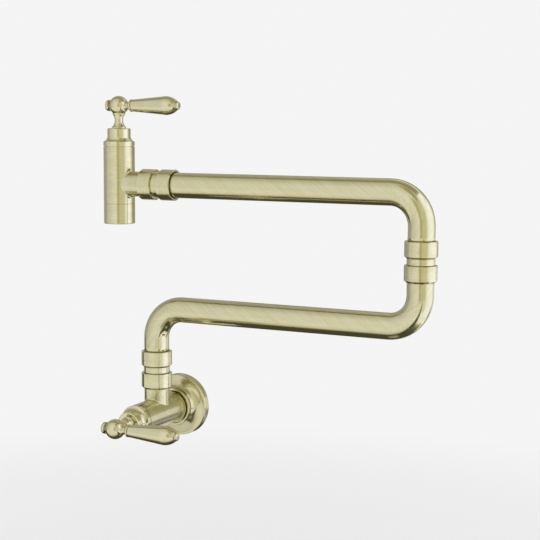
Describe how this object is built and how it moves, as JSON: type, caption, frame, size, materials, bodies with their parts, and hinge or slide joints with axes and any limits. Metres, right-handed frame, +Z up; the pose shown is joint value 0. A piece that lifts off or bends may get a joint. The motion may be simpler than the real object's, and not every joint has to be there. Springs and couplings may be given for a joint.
{
  "type": "pot filler",
  "caption": "Wall mounted pot filler: flanged wall valve with lever, two swivelling pipe arms and a drop spout with its own lever valve, in satin brass.",
  "frame": {"origin": "centre of the flange's wall face", "axes": "+Y into the wall along the inlet, +Z up, -Y out towards the user; at rest both arms lie along X"},
  "size_m": [0.3524, 0.1609, 0.3511],
  "materials": {
    "satin_brass": "brushed satin, pale champagne brass",
    "raw_brass": "as machined",
    "stainless": "plain",
    "seal_rubber": "matt black",
    "gasket_foam": "closed cell foam",
    "bearing_plastic": "filled fluoroplastic",
    "aerator_plastic": "moulded",
    "ceramic_disc": "lapped"
  },
  "bodies": {
    "wall_base": {"wall_flange": "satin_brass", "flange_gasket": "gasket_foam", "flange_o_ring": "seal_rubber", "inlet_nipple": "raw_brass", "base_valve_body": "satin_brass", "base_bonnet": "satin_brass", "base_cartridge_housing": "raw_brass", "base_cartridge_o_ring": "seal_rubber", "base_cartridge_seal": "seal_rubber", "base_fixed_disc": "ceramic_disc", "base_swivel_socket": "satin_brass", "base_swivel_washer": "bearing_plastic"},
    "base_handle": {"base_handle_stem": "satin_brass", "base_handle_hub": "satin_brass", "base_handle_lever": "satin_brass", "base_handle_tip": "satin_brass", "base_handle_finial": "satin_brass", "base_grub_screw": "stainless", "base_spindle": "raw_brass", "base_spindle_o_ring": "seal_rubber", "base_moving_disc": "ceramic_disc"},
    "lower_arm": {"lower_arm_tube": "satin_brass", "base_swivel_spigot": "satin_brass", "base_swivel_o_rings": "seal_rubber", "base_swivel_clip": "stainless", "base_swivel_collar": "satin_brass", "elbow_socket": "satin_brass", "elbow_washer": "bearing_plastic"},
    "upper_arm": {"upper_arm_tube": "satin_brass", "elbow_spigot": "satin_brass", "elbow_o_rings": "seal_rubber", "elbow_clip": "stainless", "elbow_collar": "satin_brass", "union_arm_collar": "satin_brass", "union_nipple": "satin_brass", "union_washers": "seal_rubber", "union_spout_collar": "satin_brass", "spout_body": "satin_brass", "spout_bonnet": "satin_brass", "spout_cartridge_housing": "raw_brass", "spout_cartridge_o_ring": "seal_rubber", "spout_cartridge_seal": "seal_rubber", "spout_fixed_disc": "ceramic_disc", "outlet_tip": "satin_brass", "outlet_washer": "seal_rubber", "aerator_insert": "aerator_plastic", "aerator_washer": "seal_rubber"},
    "spout_handle": {"spout_handle_stem": "satin_brass", "spout_handle_hub": "satin_brass", "spout_handle_lever": "satin_brass", "spout_handle_tip": "satin_brass", "spout_handle_finial": "satin_brass", "spout_grub_screw": "stainless", "spout_spindle": "raw_brass", "spout_spindle_o_ring": "seal_rubber", "spout_moving_disc": "ceramic_disc"}
  },
  "joints": [
    {"name": "base_valve_turn", "type": "hinge", "parent": "wall_base", "child": "base_handle", "pos_m": [0, -0.0512, 0], "axis": [0, -1, 0], "range_deg": [0, 90]},
    {"name": "base_swivel", "type": "hinge", "parent": "wall_base", "child": "lower_arm", "pos_m": [0, -0.0512, 0.0423], "axis": [0, 0, 1], "range_deg": [-180, 0]},
    {"name": "elbow_swivel", "type": "hinge", "parent": "lower_arm", "child": "upper_arm", "pos_m": [0.2785, -0.0512, 0.166], "axis": [0, 0, 1], "range_deg": [-180, 180]},
    {"name": "spout_valve_turn", "type": "hinge", "parent": "upper_arm", "child": "spout_handle", "pos_m": [-0.0429, -0.0512, 0.2314], "axis": [0, 0, 1], "range_deg": [-90, 0]}
  ]
}
